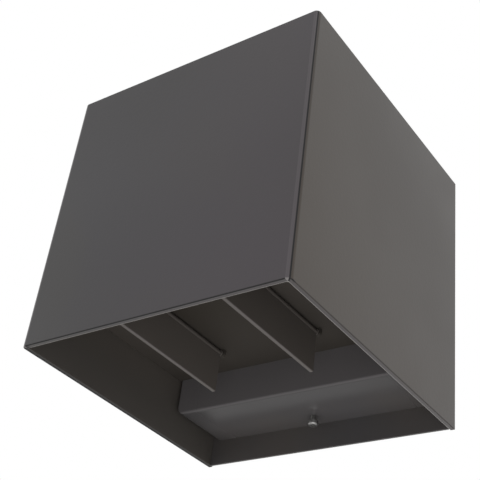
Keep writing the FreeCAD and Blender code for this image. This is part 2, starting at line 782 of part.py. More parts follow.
def inlet_grommet():
    """Rubber grommet in the bracket's centre hole, for the supply cable."""
    front = -INLET_LIP_FRONT
    body = rod(0, front, 0, Y_AXIS, INLET_HOLE_R - INLET_SQUEEZE, -INLET_BACK - front)
    lip = rod(0, front, 0, Y_AXIS, INLET_LIP_R, -BRACKET_T - front)
    lip = lip.makeFillet(INLET_LIP_ROUNDING, edges_near(lip, lambda p: near(p.y, front)))
    bore = rod(0, front - PAST, 0, Y_AXIS, INLET_R, 2 * PAST - front)
    return body.fuse(lip).cut(bore).removeSplitter()


def ground_screw():
    """Earthing screw in the bracket, over its ring terminal and cut flush at the wall."""
    whole = screw(M4, GROUND_SCREW_LENGTH, GROUND_X, -BRACKET_T - RING_T, GROUND_Z, Y_AXIS)
    return whole.cut(rod(GROUND_X, 0, GROUND_Z, Y_AXIS, M4[0], GROUND_SCREW_LENGTH))


def ground_terminal():
    """Ring terminal with a short crimped barrel."""
    front = -BRACKET_T - RING_T
    ring = rod(GROUND_X, front, GROUND_Z, Y_AXIS, RING_R, RING_T)
    barrel = rod(GROUND_X, -BRACKET_T - CRIMP_R, crimp_foot(), Z_AXIS, CRIMP_R, CRIMP_LENGTH)
    hole = rod(GROUND_X, front - PAST, GROUND_Z, Y_AXIS, M4[2] + RING_PLAY, RING_T + 2 * PAST)
    head_room = rod(
        GROUND_X, front - M4[1] - PAST, GROUND_Z, Y_AXIS, M4[0] + RING_PLAY, M4[1] + PAST
    )
    return ring.fuse(barrel).cut(hole).cut(head_room).removeSplitter()


def crimp_foot():
    """Height at which the ring terminal's barrel starts."""
    return GROUND_Z + RING_R - RING_T


def locking_screw():
    """Lower locking screw, run up through the wiring box into the bracket's tab."""
    z = -Z_RIM + LOCK_HEAD_FROM_RIM + M3[1]
    return screw(M3, LOCK_LENGTH, 0, Y_LOCK, z, Z_AXIS)


# ---------------------------------------------------------------- driver and wiring


def driver():
    """Potted driver case with a foot at each end."""
    z0, z1 = DRIVER_Z
    case = block(-DRIVER_HALF_X, DRIVER_HALF_X, Y_BOX_IN, Y_BOX_IN + DRIVER_T, z0, z1)
    soft = edges_near(case, lambda p: not near(p.y, Y_BOX_IN))
    case = case.makeFillet(DRIVER_EDGE_R, soft)
    foot = block(
        -DRIVER_FOOT_X,
        DRIVER_FOOT_X,
        Y_BOX_IN,
        Y_BOX_IN + DRIVER_FOOT_T,
        z0 + DRIVER_FOOT_INSET,
        z1 - DRIVER_FOOT_INSET,
    )
    case = case.fuse(foot)
    for side in (-1, 1):
        hole = rod(
            side * DRIVER_SCREW_X,
            Y_BOX_IN - PAST,
            driver_middle(),
            Y_AXIS,
            M3[2] + CLEARANCE_GAP,
            DRIVER_FOOT_T + 2 * PAST,
        )
        case = case.cut(hole)
    return case.removeSplitter()


def driver_screws():
    """Two screws through the driver's feet into the wiring box."""
    y = Y_BOX_IN + DRIVER_FOOT_T
    one = screw(M3, DRIVER_SCREW_LENGTH, DRIVER_SCREW_X, y, driver_middle(), -Y_AXIS)
    return Part.makeCompound(both_sides(one))


def terminal_block():
    """Three-pole terminal block with screw wells and wire entries."""
    z0, z1 = TERMINAL_Z
    body = block(-TERMINAL_HALF_X, TERMINAL_HALF_X, Y_BOX_IN, Y_BOX_IN + TERMINAL_T, z0, z1)
    top = Y_BOX_IN + TERMINAL_T + PAST
    for side in (-1, 1):
        x = side * POLE_PITCH / 2
        notch = block(x - NOTCH_W / 2, x + NOTCH_W / 2, Y_BOX_IN + NOTCH_FLOOR, top, z0, z1)
        body = body.cut(notch)
    floor = Y_BOX_IN + WELL_FLOOR
    depth = TERMINAL_ENTRY_DEPTH + PAST
    for pole in terminal_poles():
        for z in well_places():
            body = body.cut(rod(pole, floor, z, Y_AXIS, WELL_R, top - floor))
        for first in (z0 - PAST, z1 - TERMINAL_ENTRY_DEPTH):
            body = body.cut(
                rod(pole, terminal_entry_y(), first, Z_AXIS, TERMINAL_ENTRY_R, depth)
            )
    return body


def terminal_poles():
    return (-POLE_PITCH, 0, POLE_PITCH)


def well_places():
    """Heights of the two screw wells of each pole."""
    return (TERMINAL_Z[0] + WELL_INSET, TERMINAL_Z[1] - WELL_INSET)


def terminal_entry_y():
    return Y_BOX_IN + TERMINAL_ENTRY


def terminal_screws():
    """Six slotted brass screws in the wells of the terminal block."""
    screws = []
    floor = Y_BOX_IN + WELL_FLOOR
    half = WELL_SLOT / 2
    for pole in terminal_poles():
        for z in well_places():
            head = rod(pole, floor, z, Y_AXIS, WELL_SCREW_R, WELL_SCREW_T)
            first = floor + WELL_SLOT_FLOOR
            slot = block(pole - WELL_R, pole + WELL_R, first, Y_BACK_SHEET, z - half, z + half)
            screws.append(head.cut(slot))
    return Part.makeCompound(screws)


def lead_grommets():
    """Two small bushes where the lamp leads pass the wiring box's front wall."""
    bushes = []
    for x, z in lead_exits():
        first = Y_BOX - BUSH_LIP_T
        length = BOX_SHEET + 2 * BUSH_LIP_T
        body = rod(x, first, z, Y_AXIS, BUSH_R, length)
        lips = rod(x, first, z, Y_AXIS, BUSH_LIP_R, BUSH_LIP_T)
        lips = lips.fuse(rod(x, Y_BOX_IN, z, Y_AXIS, BUSH_LIP_R, BUSH_LIP_T))
        bore = rod(x, first - PAST, z, Y_AXIS, LEAD_R + BUSH_PLAY, length + 2 * PAST)
        bushes.append(body.fuse(lips).cut(bore).removeSplitter())
    return Part.makeCompound(bushes)


def lamp_leads():
    """Leads from the driver's end, through the wiring box, to the edge of each lamp board."""
    shapes = {}
    for name, (x, level) in LEAD_EXITS.items():
        y, z = LEAD_STARTS[name]
        shapes[name] = lead(
            [
                (DRIVER_HALF_X, y, z),
                (x, y, z),
                (x, y, level),
                (x, Y_BOX - 17, level),
                (16, Y_BOX - 19, level),
                (10, Y_ENGINE + BOARD_HALF - 4, level),
            ]
        )
    return shapes


def supply_leads():
    """Two short leads from the driver down to the terminal block."""
    leads = []
    for x in (-POLE_PITCH, 0):
        leads.append(
            lead(
                [
                    (x, Y_BOX_IN + 10, DRIVER_Z[0]),
                    (x, Y_BOX_IN + 10, 4),
                    (x, terminal_entry_y(), -12),
                    (x, terminal_entry_y(), TERMINAL_Z[1] - LEAD_TAIL),
                ]
            )
        )
    return Part.makeCompound(leads)


def ground_lead():
    """Earth lead from the terminal block to the ring terminal on the bracket."""
    return lead(
        [
            (POLE_PITCH, terminal_entry_y(), TERMINAL_Z[1] - LEAD_TAIL),
            (POLE_PITCH, terminal_entry_y(), -14),
            (12.5, -18, -4),
            (GROUND_X, -BRACKET_T - CRIMP_R, -6),
            (GROUND_X, -BRACKET_T - CRIMP_R, crimp_foot() + CRIMP_LENGTH),
        ]
    )


def pieces():
    """Every named piece of the light, with its solid or group of solids."""
    named = {
        "housing": housing(),
        "housing_lugs": housing_lugs(),
        "back_plate": back_plate(),
        "back_rivets": back_rivets(),
        "wall_gasket": wall_gasket(),
        "wiring_box": wiring_box(),
        "wall_bracket": wall_bracket(),
        "inlet_grommet": inlet_grommet(),
        "ground_screw": ground_screw(),
        "ground_terminal": ground_terminal(),
        "ground_lead": ground_lead(),
        "driver": driver(),
        "driver_screws": driver_screws(),
        "terminal_block": terminal_block(),
        "terminal_screws": terminal_screws(),
        "supply_leads": supply_leads(),
        "lead_grommets": lead_grommets(),
        "heat_sink": heat_sink(),
        "core_screws": core_screws(),
        "chassis_screws": chassis_screws(),
    }
    for name, shape in lamp_leads().items():
        named["lamp_lead_" + name] = shape
    for name, make in {
        "carrier": carrier,
        "carrier_screws": carrier_screws,
        "friction_washers": friction_washers,
        "led_board": led_board,
        "led_chip": led_chip,
        "board_screws": board_screws,
        "snoot": snoot,
        "snoot_screws": snoot_screws,
        "lens": lens,
        "lens_seal": lens_seal,
        "locking_screw": locking_screw,
    }.items():
        shape = make()
        named[name + "_lower"] = shape
        named[name + "_upper"] = upper(shape)
    for name, make in {"shutter": shutter, "hinge_pin": hinge_pin}.items():
        left = make()
        right = right_hand(left)
        named[name + "_lower_left"] = left
        named[name + "_lower_right"] = right
        named[name + "_upper_left"] = upper(left)
        named[name + "_upper_right"] = upper(right)
    return named


os.makedirs("parts", exist_ok=True)
for piece_name, piece_shape in pieces().items():
    solids = piece_shape.Solids
    if not solids or not piece_shape.isValid():
        raise RuntimeError(piece_name + " is not a valid solid")
    piece_shape.exportStep(os.path.join("parts", piece_name + ".step"))
    print(piece_name, len(solids), "solids", round(piece_shape.Volume / 1000, 2), "cm3")
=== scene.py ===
import math

import bmesh
import bpy
from mathutils import Matrix, Quaternion, Vector


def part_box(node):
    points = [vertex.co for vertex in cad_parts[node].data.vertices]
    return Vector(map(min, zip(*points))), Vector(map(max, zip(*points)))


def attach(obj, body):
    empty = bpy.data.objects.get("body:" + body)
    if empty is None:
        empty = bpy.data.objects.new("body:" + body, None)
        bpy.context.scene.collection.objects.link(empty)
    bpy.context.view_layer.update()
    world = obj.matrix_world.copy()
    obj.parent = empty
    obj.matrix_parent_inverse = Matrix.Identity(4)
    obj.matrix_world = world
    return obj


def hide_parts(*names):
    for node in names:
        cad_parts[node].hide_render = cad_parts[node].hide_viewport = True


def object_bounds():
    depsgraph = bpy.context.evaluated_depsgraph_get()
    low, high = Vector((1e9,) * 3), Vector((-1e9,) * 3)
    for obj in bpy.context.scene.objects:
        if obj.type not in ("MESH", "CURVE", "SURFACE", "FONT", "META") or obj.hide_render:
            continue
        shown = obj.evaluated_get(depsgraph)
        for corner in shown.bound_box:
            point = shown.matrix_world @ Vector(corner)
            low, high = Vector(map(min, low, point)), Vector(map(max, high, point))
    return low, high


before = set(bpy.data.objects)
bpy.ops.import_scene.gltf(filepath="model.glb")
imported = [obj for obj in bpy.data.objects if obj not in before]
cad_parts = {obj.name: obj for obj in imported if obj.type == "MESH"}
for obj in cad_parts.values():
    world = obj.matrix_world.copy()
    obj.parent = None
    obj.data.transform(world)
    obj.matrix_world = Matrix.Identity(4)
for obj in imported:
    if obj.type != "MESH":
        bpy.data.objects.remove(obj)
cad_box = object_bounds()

# The camera stands in front of the light, to its right and below it, and looks up into the lower
# mouth with a slight roll, as the photographer did.

CAMERA_PLACE = Vector((0.28, -0.4379, -0.2964))
CAMERA_AIM = Vector((-0.00584, -0.0871, 0.00634))
CAMERA_ROLL = math.radians(8.12)
CAMERA_LENS = 77.57
CAMERA_NEAR = 0.01

camera = bpy.data.objects.new("camera", bpy.data.cameras.new("camera"))
bpy.context.scene.collection.objects.link(camera)
camera.data.lens = CAMERA_LENS
camera.data.clip_start = CAMERA_NEAR
camera.location = CAMERA_PLACE
camera.rotation_mode = "QUATERNION"
level_view = (CAMERA_AIM - CAMERA_PLACE).to_track_quat("-Z", "Y")
camera.rotation_quaternion = level_view @ Quaternion((0, 0, 1), CAMERA_ROLL)
bpy.context.scene.camera = camera
bpy.context.scene.view_settings.view_transform = "Standard"

# The studio: an even pale surround, wide soft lamps above, on the left, behind and low in front,
# and a pale floor well below, because the light hangs on a wall above head height.

FLOOR_DEPTH = 1.2
FLOOR_SIZE = 8.0
FLOOR_TONE = (0.86, 0.86, 0.85, 1)
FLOOR_ROUGHNESS = 0.9
SURROUND_LIGHT = 0.7

world = bpy.data.worlds.new("surround")
bpy.context.scene.world = world
world.use_nodes = True
nodes, links = world.node_tree.nodes, world.node_tree.links
surround = nodes["Background"]
surround.inputs["Color"].default_value = (1, 1, 1, 1)
rays = nodes.new("ShaderNodeLightPath")
clear_rays = rays.outputs["Is Camera Ray"]
for kind in ("Is Glossy Ray", "Is Transmission Ray"):
    either = nodes.new("ShaderNodeMath")
    either.operation = "MAXIMUM"
    links.new(clear_rays, either.inputs[0])
    links.new(rays.outputs[kind], either.inputs[1])
    clear_rays = either.outputs[0]
strength = nodes.new("ShaderNodeMapRange")
strength.inputs["To Min"].default_value = SURROUND_LIGHT
strength.inputs["To Max"].default_value = 1.0
links.new(clear_rays, strength.inputs["Value"])
links.new(strength.outputs["Result"], surround.inputs["Strength"])

SOFT_LAMPS = {
    "lamp_high": {"place": (0.5, -0.4, 1.4), "size": 1.2, "watts": 4.0},
    "lamp_left": {"place": (-1.2, -0.5, -0.1), "size": 1.2, "watts": 3.0},
    "lamp_low": {"place": (0.45, -0.6, -0.8), "size": 0.9, "watts": 3.8},
    "lamp_back": {"place": (-0.5, 1.2, 0.1), "size": 1.2, "watts": 3.0},
}
middle = (cad_box[0] + cad_box[1]) / 2
for name, lamp in SOFT_LAMPS.items():
    light = bpy.data.objects.new(name, bpy.data.lights.new(name, "AREA"))
    bpy.context.scene.collection.objects.link(light)
    light.location = lamp["place"]
    light.data.size = lamp["size"]
    light.data.energy = lamp["watts"]
    light.rotation_mode = "QUATERNION"
    light.rotation_quaternion = (middle - light.location).to_track_quat("-Z", "Y")

bpy.ops.mesh.primitive_plane_add(size=FLOOR_SIZE, location=(0, 0, -FLOOR_DEPTH))
floor = bpy.context.object
floor.name = "studio_floor"
paint = bpy.data.materials.new("studio_floor")
paint.use_nodes = True
paint_sockets = paint.node_tree.nodes["Principled BSDF"].inputs
paint_sockets["Base Color"].default_value = FLOOR_TONE
paint_sockets["Roughness"].default_value = FLOOR_ROUGHNESS
floor.data.materials.append(paint)

# The sleeve is cast aluminium under a semi-gloss dark bronze powder coat with a fine orange-peel
# skin. Its two sides are painted browner as painted light, with painted shade towards their back
# and top; its front has a painted highlight towards the right and painted shade at its upper left.
# The rims are painted lighter, with a painted highlight along their inner edges, weaker on the
# left, and painted glints at their front corners; painted shade darkens their outer edges and the
# left rims, and a painted shade line runs beside a painted highlight down the two front corners.
# The coat is duller along these shaded edges and lines and inside. The inside is painted much
# lighter, and lighter still deeper in, as painted light.


class Value:
    """A shader value; arithmetic on it adds Math nodes."""

    def __init__(self, finish, socket):
        self.finish = finish
        self.socket = socket

    def math(self, operation, *others, first=True):
        """This value and others in one Math node, with this one first or last."""
        values = (self, *others) if first else (*others, self)
        inputs = dict(enumerate(values))
        return self.finish.node("ShaderNodeMath", {"operation": operation}, inputs)

    def __add__(self, other):
        return self.math("ADD", other)

    def __mul__(self, other):
        return self.math("MULTIPLY", other)

    def __sub__(self, other):
        return self.math("SUBTRACT", other)

    def __rsub__(self, other):
        return self.math("SUBTRACT", other, first=False)

    def __abs__(self):
        return self.math("ABSOLUTE")

    def rise(self, low, high, start=0.0):
        """0 below low, 1 above high and smooth between; low and high are counted from start."""
        settings = {"interpolation_type": "SMOOTHSTEP"}
        inputs = {"Value": self, "From Min": start + low, "From Max": start + high}
        return self.finish.node("ShaderNodeMapRange", settings, inputs)

    def between(self, low, high):
        """The range 0 to 1 brought to low to high."""
        return self * (high - low) + low

    def axes(self):
        """The three coordinates of a place."""
        split = self.finish.node("ShaderNodeSeparateXYZ", {}, {"Vector": self}).socket.node
        return [Value(self.finish, out) for out in split.outputs]


class Finish:
    """One surface finish: a Principled material with patterns on the object's coordinates."""

    def __init__(self, name, **even):
        self.material = bpy.data.materials.new(name)
        self.material.use_nodes = True
        self.tree = self.material.node_tree
        self.shader = self.tree.nodes["Principled BSDF"]
        self.place = self.node("ShaderNodeTexCoord", {}, {}, "Object")
        self.set(**even)

    def node(self, kind, settings, inputs, output=0):
        """Adds a node with its settings and inputs, and gives one of its outputs."""
        made = self.tree.nodes.new(kind)
        for name, value in settings.items():
            setattr(made, name, value)
        for name, value in inputs.items():
            self.feed(made.inputs[name], value)
        return Value(self, made.outputs[output])

    def feed(self, socket, value):
        """Links a value to a socket, or sets the socket to a plain one."""
        if isinstance(value, Value):
            self.tree.links.new(value.socket, socket)
        else:
            socket.default_value = value

    def set(self, **sockets):
        """Sets the shader's sockets, such as Base_Color."""
        for name, value in sockets.items():
            self.feed(self.shader.inputs[name.replace("_", " ")], value)

    def spread(self, size, stretch=(1, 1, 1)):
        """Place on the object, counted in steps of size metres."""
        scale = tuple(share / size for share in stretch)
        return self.node("ShaderNodeMapping", {}, {"Vector": self.place, "Scale": scale})

    def noise(self, size, detail=3.0, stretch=(1, 1, 1)):
        """Cloudy pattern whose features are about size metres across."""
        inputs = {"Vector": self.spread(size, stretch), "Scale": 1.0, "Detail": detail}
        return self.node("ShaderNodeTexNoise", {}, inputs)

    def cells(self, size):
        """Distance from the middle of cells about size metres across."""
        return self.node("ShaderNodeTexVoronoi", {}, {"Vector": self.spread(size), "Scale": 1.0})

    def mix(self, amount, a, b):
        """Colour between a and b."""
        inputs = {0: amount, 6: a, 7: b}
        return self.node("ShaderNodeMix", {"data_type": "RGBA"}, inputs, 2)

    def bump(self, height, depth):
        """Relief of a pattern, depth metres deep."""
        inputs = {"Height": height, "Distance": depth, "Strength": 1.0}
        self.set(Normal=self.node("ShaderNodeBump", {}, inputs))


def colour(red, green, blue):
    """Linear colour from screen values out of 255."""
    linear = [((c / 255 + 0.055) / 1.055) ** 2.4 for c in (red, green, blue)]
    return (*linear, 1.0)


def dress(finish, *nodes):
    """Gives CAD nodes or new pieces a finish."""
    for node in nodes:
        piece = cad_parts[node] if isinstance(node, str) else node
        piece.data.materials.clear()
        piece.data.materials.append(finish.material)


def powder_coat(name, deep, warm, gloss, peel=0.00003, **even):
    """Powder coat with a colour drift, an orange-peel skin and a slight change of gloss."""
    coat = Finish(name, **even)
    drift = coat.noise(size=0.07, detail=2.0).rise(0.35, 0.65)
    speck = coat.noise(size=0.0011, detail=2.0)
    tone = coat.mix(drift, deep, warm)
    coat.tone = coat.mix(speck.rise(0.45, 0.75) * 0.25, tone, warm)
    coat.set(Base_Color=coat.tone)
    coat.gloss = drift.between(gloss - 0.02, gloss + 0.03)
    coat.set(Roughness=coat.gloss)
    coat.bump(coat.noise(size=0.0016, detail=2.5), depth=peel)
    return coat


SLEEVE_WALL = 0.0026
CORNER_R = 0.0025
RIM_ROUNDING = 0.0004
PAST_INNER_SIDE = (-0.0001, 0.0004)
PAST_INNER_FACE = (-0.0006, 0.0)
TO_SIDE = (-0.0012, 0.0)
CORNER_START = (0.0, 0.0002)
CORNER_HIGHLIGHT_END = (-0.0006, -0.0002)
CORNER_SHADE_START = (-0.0003, -0.0001)
CORNER_SHADE_END = (0.0007, 0.0009)
RIM_START = (-2 * RIM_ROUNDING, -0.4 * RIM_ROUNDING)
OUTER_EDGE_END = (0.0003, 0.0006)
INNER_EDGE_START = (-0.0007, -0.0003)
PAST_WALL = (SLEEVE_WALL, 2 * SLEEVE_WALL)
TO_MOUTH = (-0.035, -0.012)

sleeve_low, sleeve_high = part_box("housing")
sleeve_coat = powder_coat(
    "sleeve_coat", colour(43, 41, 44), colour(45, 43, 43), gloss=0.3, IOR=1.45
)
x, y, z = sleeve_coat.place.axes()
side = abs(x)
height = abs(z)
in_walls = 1 - side.rise(*PAST_INNER_SIDE, start=sleeve_high.x - SLEEVE_WALL)
inside = in_walls * y.rise(*PAST_INNER_FACE, start=sleeve_low.y + SLEEVE_WALL)

rightward = x.rise(sleeve_low.x, sleeve_high.x)
upward = z.rise(0, sleeve_high.z)
# Painted light: the outside is painted paler towards the right, a little less towards the top.
right_painted_light = rightward * (1 - z.rise(sleeve_low.z, 0) * 0.3) * 0.5
right_lit_tone = sleeve_coat.mix(right_painted_light, sleeve_coat.tone, colour(68, 60, 66))
# Painted shade: the front is painted darker towards its upper left.
front_shaded_tone = sleeve_coat.mix(upward * (1 - rightward) * 0.8, right_lit_tone, colour(26, 22, 25))
# Painted light and shade on the sides: browner all over, and darker towards the back and top.
side_painted_shade = (y + z).rise(sleeve_low.y + sleeve_low.z, 0.3 * sleeve_high.z)
side_warm_light_tone = sleeve_coat.mix(side_painted_shade, colour(53, 44, 35), colour(31, 20, 7))
on_sides = side.rise(*TO_SIDE, start=sleeve_high.x)
outer_tone = sleeve_coat.mix(on_sides, front_shaded_tone, side_warm_light_tone)

across = side - (sleeve_high.x - CORNER_R)
forward = (sleeve_low.y + CORNER_R) - y
corner = across.rise(*CORNER_START) * forward.rise(*CORNER_START)
turn = across - forward
# A painted highlight on the front half of each front corner's rounding, and a painted shade line
# next to it.
corner_highlight = corner * (1 - turn.rise(*CORNER_HIGHLIGHT_END))
corner_shade_line = corner * turn.rise(*CORNER_SHADE_START) * (1 - turn.rise(*CORNER_SHADE_END))

rim = height.rise(*RIM_START, start=sleeve_high.z)
from_outside = (sleeve_high.x - side).math("MINIMUM", y - sleeve_low.y)
along_front = 1 - y.rise(*PAST_WALL, start=sleeve_low.y)
on_left = 1 - x.rise(*PAST_WALL, start=sleeve_low.x)
# Painted shade along the rims' outer edges, mostly along the front, and over the left rims.
outer_edge_shade = rim * (1 - from_outside.rise(*OUTER_EDGE_END)) * along_front.between(0.35, 1.0)
edge_painted_shade = outer_edge_shade.math("MAXIMUM", rim * on_left * 0.9)
# Painted highlight along the rims' inner edges, weaker on the left.
rim_inner_highlight = rim * from_outside.rise(*INNER_EDGE_START, start=SLEEVE_WALL)
inner_edge_highlight = rim_inner_highlight * (1 - on_left * 0.8)
# The corners' shade lines, the outer edges and the left rims get painted shade and a rougher coat.
dull_and_shaded = corner_shade_line.math("MAXIMUM", edge_painted_shade)

# Painted highlight on the front corners.
corner_highlight_tone = sleeve_coat.mix(corner_highlight * 0.4, outer_tone, colour(92, 87, 90))
# Painted light: the rims are painted lighter.
rim_lit_tone = sleeve_coat.mix(rim * 0.4, corner_highlight_tone, colour(74, 70, 68))
# Painted shade on the corners' shade lines, the rims' outer edges and the left rims.
painted_shade_tone = sleeve_coat.mix(dull_and_shaded, rim_lit_tone, colour(14, 13, 14))
# Painted glint where the front corners meet the rims.
painted_glint_tone = sleeve_coat.mix(corner_highlight * rim, painted_shade_tone, colour(116, 112, 112))
# Painted highlight on the rims' inner edges.
highlight_tone = sleeve_coat.mix(inner_edge_highlight, painted_glint_tone, colour(128, 124, 121))
# Painted light: the inside is painted much lighter than the outside, and lighter still deeper in,
# where less light reaches.
deeper_painted_light = 1 - height.rise(*TO_MOUTH, start=sleeve_high.z)
inside_lit_tone = sleeve_coat.mix(deeper_painted_light, colour(71, 67, 63), colour(82, 77, 72))
sleeve_coat.set(Base_Color=sleeve_coat.mix(inside * (1 - inner_edge_highlight), highlight_tone, inside_lit_tone))
sleeve_coat.set(Roughness=sleeve_coat.gloss + inside * 0.25 + dull_and_shaded * 0.45)
dress(sleeve_coat, "housing")

# Four tapped lugs inside the sleeve take the front screws of the carriers. They are sawn from
# aluminium bar and welded on, so they show saw lines and a slightly burnt skin.


def bare_metal(name, light, dark, gloss, grain, stretch=(1, 1, 1), depth=0.00001):
    """Bare or plated metal with tool lines along the axis that stretch makes small."""
    metal = Finish(name, Metallic=1.0)
    cloud = metal.noise(size=0.006)
    lines = metal.noise(size=grain, detail=2.0, stretch=stretch)
    metal.tone = metal.mix(cloud.rise(0.35, 0.7) * 0.6, light, dark)
    metal.set(Base_Color=metal.mix(lines.rise(0.5, 0.8) * 0.35, metal.tone, dark))
    metal.set(Roughness=cloud.between(gloss - 0.05, gloss + 0.1) + lines * 0.08)
    metal.bump(lines, depth)
    return metal


lug_metal = bare_metal(
    "lug_metal",
    colour(196, 197, 199),
    colour(132, 130, 128),
    gloss=0.38,
    grain=0.0003,
    stretch=(1, 1, 0.05),
    depth=0.00002,
)
dress(lug_metal, "housing_lugs")

# The back plate is bent steel sheet, coated like the sleeve but duller. It closes the back of both
# mouths and its side flanges touch the sleeve.

back_coat = powder_coat("back_coat", colour(62, 60, 61), colour(66, 62, 60), gloss=0.5)
dress(back_coat, "back_plate")

# Ten aluminium blind rivets join the wiring box's rim to the back plate. The setting tool leaves
# small dents in their heads.

rivet_metal = bare_metal(
    "rivet_metal", colour(200, 201, 203), colour(140, 140, 142), gloss=0.3, grain=0.0004
)
rivet_metal.bump(rivet_metal.cells(size=0.0009).rise(0.1, 0.5), depth=0.00004)
dress(rivet_metal, "back_rivets")

# The wall gasket is a die-cut ring of closed-cell black foam, glued to the back plate. Cut cells
# show as fine pits.

gasket_foam = Finish("gasket_foam", Specular_IOR_Level=0.25)
pits = gasket_foam.cells(size=0.0007)
skin = gasket_foam.noise(size=0.004)
foam_tone = gasket_foam.mix(pits.rise(0.2, 0.6), colour(24, 24, 25), colour(46, 46, 47))
gasket_foam.set(Base_Color=foam_tone)
gasket_foam.set(Roughness=skin.between(0.85, 0.98))
gasket_foam.bump(pits + skin * 0.5, depth=0.0002)
dress(gasket_foam, "wall_gasket")

# The wiring box is drawn from aluminium sheet with rounded corners and the same bronze coat. Its
# front face is painted paler as painted light. Elsewhere it has painted shade towards its front
# edge and towards its ends, where the coat is also duller.

BACK_SHADE_END = -0.01
FRONT_TURN = (0.0004, 0.0012)
TO_ENDS = (-0.016, -0.004)

box_low, box_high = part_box("wiring_box")
box_coat = powder_coat(
    "box_coat", colour(76, 74, 75), colour(77, 74, 73), gloss=0.24, Specular_IOR_Level=0.3
)
x, y = box_coat.place.axes()[:2]
# Painted shade, strongest at the front and fading towards the back.
front_painted_shade = 1 - y.rise(box_low.y, box_high.y + BACK_SHADE_END)
front_side = 1 - y.rise(*FRONT_TURN, start=box_low.y)
ends = abs(x).rise(*TO_ENDS, start=box_high.x)
# Painted shade towards the front and towards the ends.
even_tone = box_coat.mix(front_painted_shade * 0.8, box_coat.tone, colour(58, 56, 57))
ends_shade_tone = box_coat.mix(ends * 0.4, even_tone, colour(48, 46, 46))
# Painted light: the front face is painted paler.
box_coat.set(Base_Color=box_coat.mix(front_side, ends_shade_tone, colour(89, 86, 87)))
box_coat.set(Roughness=box_coat.gloss + ends * 0.35)
dress(box_coat, "wiring_box")

# The wall bracket is a stamped steel cross with bent tabs, zinc plated and clear passivated:
# bluish grey with a faint yellow cast and fine drawing lines from the press.

bracket_zinc = bare_metal(
    "bracket_zinc",
    colour(176, 180, 185),
    colour(154, 156, 158),
    gloss=0.34,
    grain=0.0002,
    stretch=(1, 1, 0.04),
)
cast = bracket_zinc.noise(size=0.04, detail=2.0).rise(0.45, 0.75)
passivated = bracket_zinc.mix(cast * 0.3, bracket_zinc.tone, colour(178, 175, 160))
drawn = bracket_zinc.noise(size=0.0004, detail=2.0, stretch=(1, 1, 0.02)).rise(0.45, 0.8)
bracket_zinc.set(Base_Color=bracket_zinc.mix(drawn * 0.25, passivated, colour(134, 136, 138)))
dress(bracket_zinc, "wall_bracket")

# A moulded rubber grommet lines the bracket's centre hole, so that the supply cable doesn't chafe.
# It is black with a faint pale bloom.


def moulded(name, deep, pale, gloss, grain=0.0005, depth=0.00002, **even):
    """Moulded rubber or plastic with a fine grain and a faint bloom."""
    skin = Finish(name, **even)
    bloom = skin.noise(size=0.008).rise(0.4, 0.75)
    skin.tone = skin.mix(bloom * 0.8, deep, pale)
    skin.set(Base_Color=skin.tone)
    skin.set(Roughness=bloom.between(gloss, gloss + 0.1))
    skin.bump(skin.cells(size=grain), depth)
    return skin


grommet_rubber = moulded("grommet_rubber", colour(26, 26, 27), colour(44, 43, 42), gloss=0.55)
dress(grommet_rubber, "inlet_grommet")

# The earthing point: a green-tinted brass screw, a tinned ring terminal crimped on the green lead,
# and the lead itself in soft PVC.

earth_brass = bare_metal(
    "earth_brass", colour(120, 158, 88), colour(84, 112, 58), gloss=0.34, grain=0.0003
)
dress(earth_brass, "ground_screw")
tinned = bare_metal(
    "tinned", colour(206, 206, 204), colour(160, 160, 158), gloss=0.32, grain=0.0005
)
dress(tinned, "ground_terminal")


def insulation(name, deep, pale):
    """Extruded PVC or silicone: a slight waviness along the lead and a soft sheen."""
    skin = moulded(name, deep, pale, gloss=0.36)
    skin.bump(skin.noise(size=0.003, detail=2.0), depth=0.00006)
    return skin


dress(insulation("lead_green", colour(38, 120, 62), colour(58, 142, 80)), "ground_lead")

# The driver is a moulded tray of pale plastic, filled with dark potting resin that creeps up its
# walls a little. Two feet with screw holes hold it to the wiring box.

DRIVER_WALL = 0.0018
CASE_ROUNDING = 0.0012
RESIN_DEPTH = 0.0014
SEAT_WIDTH = 0.0004
CREEP_WIDTH = 0.0012
CREEP_HEIGHT = 0.0005
FOOT_LENGTH = 0.008
FOOT_HEIGHT = 0.003
FOOT_HALF = 0.0085
FOOT_ROUNDING = 0.0008
FOOT_HOLE_R = 0.0017
THROUGH = 0.02
LYING = (math.pi / 2, 0, 0)
FLAT = 0.99
BACKWARD = Vector((0, 1, 0))


def edit(piece, mode):
    """Makes one piece the only active and selected one, in the given mode."""
    if bpy.context.object and bpy.context.object.mode != "OBJECT":
        bpy.ops.object.mode_set(mode="OBJECT")
    bpy.ops.object.select_all(action="DESELECT")
    bpy.context.view_layer.objects.active = piece
    piece.select_set(True)
    if mode == "EDIT":
        bpy.ops.object.mode_set(mode="EDIT")
        bpy.ops.mesh.select_all(action="DESELECT")


def start(name, add, **settings):
    """Adds a primitive with its place in its mesh."""
    bpy.ops.object.select_all(action="DESELECT")
    add(**settings)
    piece = bpy.context.object
    piece.name = name
    piece.data.name = name
    bpy.ops.object.transform_apply(location=True, rotation=True, scale=True)
    return piece


def block(name, middle, size, rotation=(0, 0, 0)):
    """A box from its middle and its sides."""
    add = bpy.ops.mesh.primitive_cube_add
    return start(name, add, size=1, location=middle, rotation=rotation, scale=size)


def rod(name, middle, radius, length, sides, rotation=(0, 0, 0)):
    """A cylinder that stands upright unless it is turned."""
    return start(
        name,
        bpy.ops.mesh.primitive_cylinder_add,
        vertices=sides,
        radius=radius,
        depth=length,
        location=middle,
        rotation=rotation,
    )


def pick_side(piece, direction):
    """Selects the faces that look in one direction, in edit mode."""
    mesh = bmesh.from_edit_mesh(piece.data)
    bpy.ops.mesh.select_mode(type="FACE")
    for face in mesh.faces:
        face.select_set(face.normal.dot(direction) > FLAT)
    mesh.select_flush_mode()
    bmesh.update_edit_mesh(piece.data)


